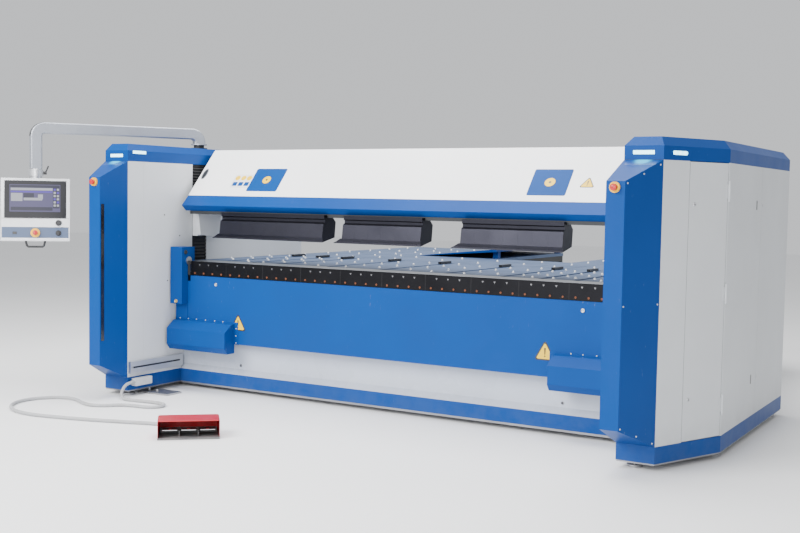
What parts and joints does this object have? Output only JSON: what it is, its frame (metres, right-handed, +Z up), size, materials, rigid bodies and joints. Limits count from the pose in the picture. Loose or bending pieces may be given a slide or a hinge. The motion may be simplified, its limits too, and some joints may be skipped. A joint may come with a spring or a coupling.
{
  "type": "sheet folding machine",
  "caption": "Floor-standing sheet metal folding machine with swinging bending beam, slotted rear table, swivel control panel and corded foot switch.",
  "frame": {"origin": "on the floor under the centre of the whole machine's bounding box, conduit left out", "axes": "+Z up; +X along the bend line to the operator's right; -Y points at the operator"},
  "size_m": [5.8692, 5.8144, 2.2555],
  "materials": {
    "blue_paint": "satin",
    "grey_paint": "satin",
    "white_paint": "satin",
    "machine_steel": "ground",
    "dark_paint": "satin",
    "tool_steel": "blackened",
    "bar_steel": "blackened",
    "bright_steel": "ground",
    "slat_steel": "brushed",
    "black_rubber": "matte",
    "black_plastic": "matte",
    "white_plastic": "gloss",
    "yellow_plastic": "matte",
    "red_plastic": "gloss",
    "lens_plastic": "gloss",
    "screen_glass": "gloss",
    "panel_aluminium": "satin",
    "guard_paint": "gloss",
    "conduit_plastic": "matte"
  },
  "bodies": {
    "machine": {"arm_socket": "dark_paint", "bearing_blocks": "dark_paint", "bending_motors": "dark_paint", "column_caps": "blue_paint", "column_casings": "grey_paint", "column_frames": "machine_steel", "column_noses": "blue_paint", "conduit": "conduit_plastic", "conduit_glands": "conduit_plastic", "levelling_feet": "bright_steel", "lift_flap": "blue_paint", "lift_motors": "dark_paint", "light_curtains": "black_plastic", "linear_rails": "bright_steel", "lower_beam": "machine_steel", "lower_bellows": "black_rubber", "lower_tool": "bright_steel", "pedal_base": "dark_paint", "pedal_guard": "guard_paint", "plinth_panels": "blue_paint", "scanner_boxes": "panel_aluminium", "skirt_panel": "grey_paint", "socket_box": "grey_paint", "status_lenses": "lens_plastic", "stop_collars": "yellow_plastic", "table_frame": "dark_paint", "table_slats": "slat_steel", "transfer_balls": "white_plastic", "upper_bellows": "black_rubber"},
    "upper_assembly": {"upper_beam": "machine_steel", "upper_cover": "white_paint", "upper_nose": "blue_paint", "tool_rail": "dark_paint", "beam_carriages": "grey_paint"},
    "left_tool_group": {"left_tools": "tool_steel"},
    "middle_tool_group": {"middle_tools": "tool_steel"},
    "right_tool_group": {"right_tools": "tool_steel"},
    "left_screw": {"left_ball_screw": "bright_steel"},
    "right_screw": {"right_ball_screw": "bright_steel"},
    "folding_assembly": {"bending_beam": "blue_paint", "bending_bar": "bar_steel", "pivot_shafts": "bright_steel", "link_covers": "blue_paint"},
    "gauge": {"back_gauge": "tool_steel"},
    "arm": {"swivel_arm": "panel_aluminium"},
    "panel": {"panel_case": "panel_aluminium", "panel_screen": "screen_glass", "panel_handle": "black_plastic", "panel_stop_collar": "yellow_plastic"},
    "lever": {"clamp_lever": "black_plastic"},
    "dial": {"panel_dial": "black_plastic"},
    "selector": {"mode_switch": "black_plastic"},
    "panel_stop": {"panel_stop_button": "red_plastic"},
    "left_stop": {"left_stop_button": "red_plastic"},
    "right_stop": {"right_stop_button": "red_plastic"},
    "pedal_left": {"left_pedal": "black_rubber"},
    "pedal_middle": {"middle_pedal": "black_rubber"},
    "pedal_right": {"right_pedal": "black_rubber"},
    "door_left": {"left_door": "grey_paint"},
    "door_right": {"right_door": "grey_paint"}
  },
  "joints": [
    {"name": "upper_beam_slide", "type": "slide", "parent": "machine", "child": "upper_assembly", "axis": [0, 0, 1], "range_m": [-0.2, 0], "deforming": ["lower_bellows", "upper_bellows"]},
    {"name": "left_screw_spin", "type": "hinge", "parent": "machine", "child": "left_screw", "pos_m": [-1.8037, -0.8228, 1], "axis": [0, 0, 1], "range_deg": [-3600.1, 0.1]},
    {"name": "right_screw_spin", "type": "hinge", "parent": "machine", "child": "right_screw", "pos_m": [2.4663, -0.8228, 1], "axis": [0, 0, 1], "range_deg": [-3600.1, 0.1]},
    {"name": "left_tools_slide", "type": "slide", "parent": "upper_assembly", "child": "left_tool_group", "axis": [1, 0, 0], "range_m": [-0.25, 0.09]},
    {"name": "middle_tools_slide", "type": "slide", "parent": "upper_assembly", "child": "middle_tool_group", "axis": [1, 0, 0], "range_m": [-0.09, 0.2]},
    {"name": "right_tools_slide", "type": "slide", "parent": "upper_assembly", "child": "right_tool_group", "axis": [1, 0, 0], "range_m": [-0.04, 0.42]},
    {"name": "bending_beam_swing", "type": "hinge", "parent": "machine", "child": "folding_assembly", "pos_m": [0.3313, -1.2578, 1.102], "axis": [-1, 0, 0], "range_deg": [0, 120]},
    {"name": "back_gauge_slide", "type": "slide", "parent": "machine", "child": "gauge", "axis": [0, 1, 0], "range_m": [-1.01, 0.03]},
    {"name": "arm_swivel", "type": "hinge", "parent": "machine", "child": "arm", "pos_m": [-1.9637, -0.7328, 2.12], "axis": [0, 0, 1], "range_deg": [-75, 20]},
    {"name": "panel_swivel", "type": "hinge", "parent": "arm", "child": "panel", "pos_m": [-2.7437, -1.9128, 1.862], "axis": [0, 0, 1], "range_deg": [-90, 90]},
    {"name": "clamp_lever_turn", "type": "hinge", "parent": "panel", "child": "lever", "pos_m": [-2.70063, -1.8682, 1.826], "axis": [0.6947, 0.7193, 0], "range_deg": [-45, 45]},
    {"name": "dial_turn", "type": "hinge", "parent": "panel", "child": "dial", "pos_m": [-2.53269, -1.858, 1.4051], "axis": [0.7123, -0.6879, 0.1392], "range_deg": [-150, 150]},
    {"name": "mode_switch_turn", "type": "hinge", "parent": "panel", "child": "selector", "pos_m": [-2.52408, -1.86632, 1.31994], "axis": [0.7123, -0.6879, 0.1392], "range_deg": [-45, 45]},
    {"name": "panel_stop_press", "type": "slide", "parent": "panel", "child": "panel_stop", "axis": [-0.7123, 0.6879, -0.1392], "range_m": [0, 0.005], "stiffness_N_per_m": 800, "springref_m": -0.002},
    {"name": "left_stop_press", "type": "slide", "parent": "machine", "child": "left_stop", "axis": [0, 1, 0], "range_m": [0, 0.005], "stiffness_N_per_m": 800, "springref_m": -0.002},
    {"name": "right_stop_press", "type": "slide", "parent": "machine", "child": "right_stop", "axis": [0, 1, 0], "range_m": [0, 0.005], "stiffness_N_per_m": 800, "springref_m": -0.002},
    {"name": "left_pedal_press", "type": "hinge", "parent": "machine", "child": "pedal_left", "pos_m": [-0.48027, -2.7264, 0.041], "axis": [0.7478, 0.6639, 0], "range_deg": [0, 8], "stiffness_Nm_per_rad": 20, "springref_deg": -3.44},
    {"name": "middle_pedal_press", "type": "hinge", "parent": "machine", "child": "pedal_middle", "pos_m": [-0.38455, -2.64142, 0.041], "axis": [0.7478, 0.6639, 0], "range_deg": [0, 8], "stiffness_Nm_per_rad": 20, "springref_deg": -3.44},
    {"name": "right_pedal_press", "type": "hinge", "parent": "machine", "child": "pedal_right", "pos_m": [-0.28883, -2.55644, 0.041], "axis": [0.7478, 0.6639, 0], "range_deg": [0, 8], "stiffness_Nm_per_rad": 20, "springref_deg": -3.44},
    {"name": "left_door_swing", "type": "hinge", "parent": "machine", "child": "door_left", "pos_m": [-2.26442, -1.25811, 1], "axis": [0, 0, -1], "range_deg": [0, 110]},
    {"name": "right_door_swing", "type": "hinge", "parent": "machine", "child": "door_right", "pos_m": [2.92702, -1.25811, 1], "axis": [0, 0, 1], "range_deg": [0, 110]}
  ],
  "couplings": [
    {"joint": "left_screw_spin", "follows": "upper_beam_slide", "rad_per_m": 314.16},
    {"joint": "right_screw_spin", "follows": "upper_beam_slide", "rad_per_m": 314.16}
  ]
}
